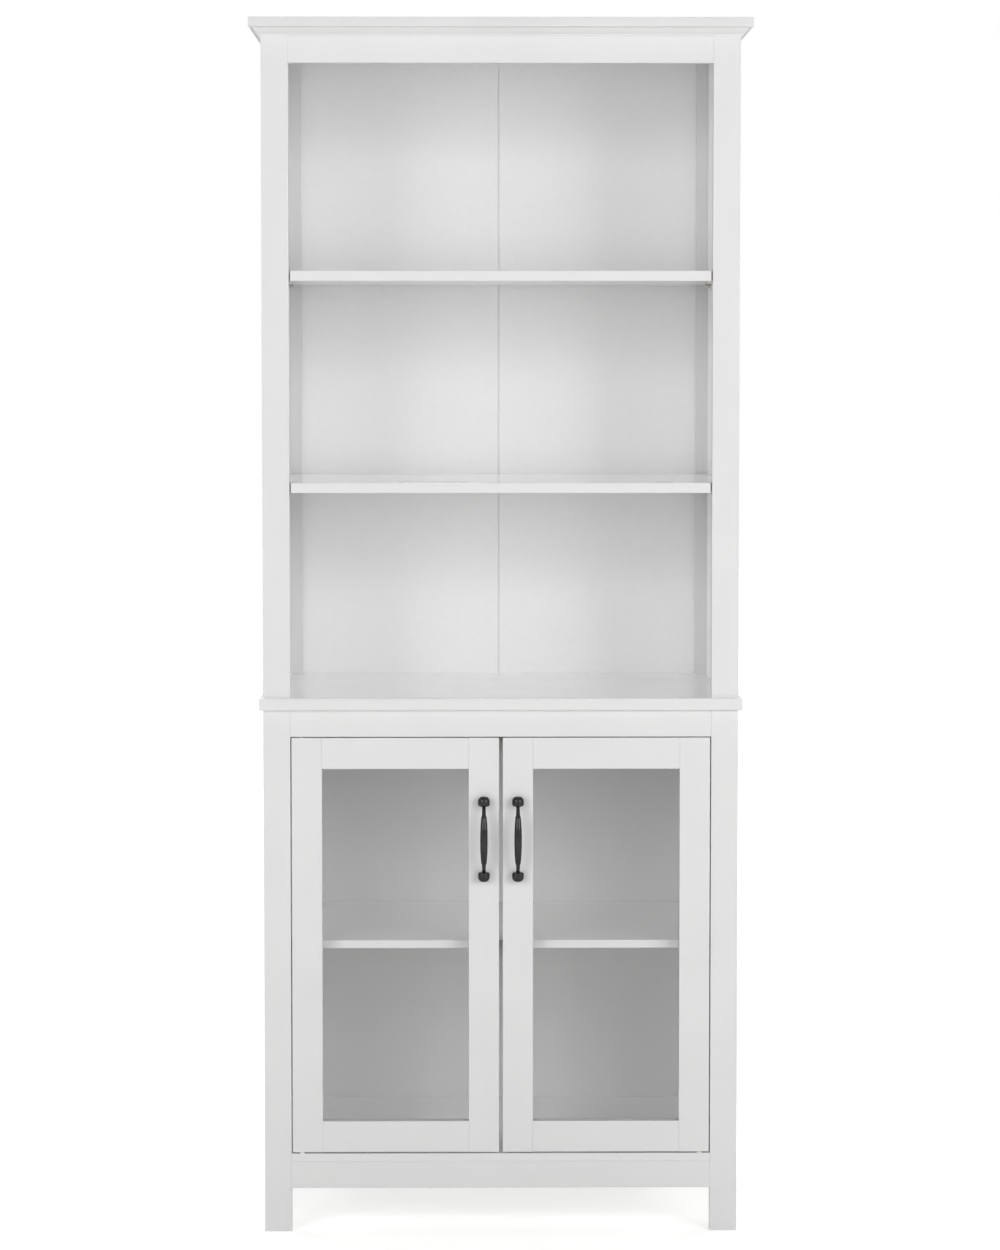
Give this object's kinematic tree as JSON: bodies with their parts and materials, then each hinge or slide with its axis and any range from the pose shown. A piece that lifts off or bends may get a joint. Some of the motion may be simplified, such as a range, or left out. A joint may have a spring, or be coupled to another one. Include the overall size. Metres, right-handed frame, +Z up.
{
  "type": "hutch bookcase",
  "caption": "White hutch bookcase: open adjustable shelves under a moulded crown, on a legged base with glazed inset doors and arched black pulls.",
  "frame": {"origin": "on the floor, under the middle of the bookcase's whole box, pulls included", "axes": "+X to the viewer's right, +Y to the wall behind, +Z up; the doors face -Y"},
  "size_m": [0.739, 0.409, 1.8],
  "materials": {
    "white_painted_wood": "satin white lacquer over wood and MDF",
    "white_faced_fibreboard": "thin fibreboard with a plain white foil face",
    "clear_glass": "clear float glass",
    "black_lacquered_zinc": "black lacquered zinc casting, semi-matt",
    "beech": "plain beech",
    "die_cast_zinc": "bare die-cast zinc alloy",
    "plated_steel": "bright zinc-plated steel",
    "zinc_plated_fasteners": "zinc-plated steel wire",
    "white_nylon": "moulded nylon"
  },
  "bodies": {
    "cabinet": {"crown_board": "white_painted_wood", "crown_moulding_front": "white_painted_wood", "crown_moulding_left": "white_painted_wood", "crown_moulding_right": "white_painted_wood", "hutch_top_panel": "white_painted_wood", "hutch_top_rail": "white_painted_wood", "hutch_front_post_left": "white_painted_wood", "hutch_front_post_right": "white_painted_wood", "hutch_rear_post_left": "white_painted_wood", "hutch_rear_post_right": "white_painted_wood", "hutch_side_panel_left": "white_painted_wood", "hutch_side_panel_right": "white_painted_wood", "hutch_back_left": "white_faced_fibreboard", "hutch_back_right": "white_faced_fibreboard", "hutch_shelf_upper": "white_painted_wood", "hutch_shelf_lower": "white_painted_wood", "shelf_pins": "plated_steel", "base_top_board": "white_painted_wood", "base_front_leg_left": "white_painted_wood", "base_front_leg_right": "white_painted_wood", "base_rear_leg_left": "white_painted_wood", "base_rear_leg_right": "white_painted_wood", "base_side_panel_left": "white_painted_wood", "base_side_panel_right": "white_painted_wood", "base_top_rail": "white_painted_wood", "base_apron": "white_painted_wood", "base_floor_panel": "white_painted_wood", "base_back_panel": "white_faced_fibreboard", "base_shelf": "white_painted_wood", "back_nails": "zinc_plated_fasteners", "joining_plates": "plated_steel", "magnetic_catch": "white_nylon", "carcass_screws": "zinc_plated_fasteners", "carcass_dowels": "beech", "cam_locks": "die_cast_zinc", "cam_bolts": "plated_steel", "pivot_pins": "plated_steel"},
    "door_left": {"door_left_hinge_stile": "white_painted_wood", "door_left_lock_stile": "white_painted_wood", "door_left_top_rail": "white_painted_wood", "door_left_bottom_rail": "white_painted_wood", "door_left_glass": "clear_glass", "door_left_glass_beads": "white_painted_wood", "door_left_pull": "black_lacquered_zinc", "door_left_pull_screws": "zinc_plated_fasteners", "door_left_pivot_bushes": "white_nylon", "door_left_strike_plate": "plated_steel", "door_left_dowels": "beech"},
    "door_right": {"door_right_hinge_stile": "white_painted_wood", "door_right_lock_stile": "white_painted_wood", "door_right_top_rail": "white_painted_wood", "door_right_bottom_rail": "white_painted_wood", "door_right_glass": "clear_glass", "door_right_glass_beads": "white_painted_wood", "door_right_pull": "black_lacquered_zinc", "door_right_pull_screws": "zinc_plated_fasteners", "door_right_pivot_bushes": "white_nylon", "door_right_strike_plate": "plated_steel", "door_right_dowels": "beech"}
  },
  "joints": [
    {"name": "left_door_swing", "type": "hinge", "parent": "cabinet", "child": "door_left", "pos_m": [-0.2964, -0.17, 0.4], "axis": [0, 0, -1], "range_deg": [0, 110]},
    {"name": "right_door_swing", "type": "hinge", "parent": "cabinet", "child": "door_right", "pos_m": [0.2964, -0.17, 0.4], "axis": [0, 0, 1], "range_deg": [0, 110]}
  ]
}
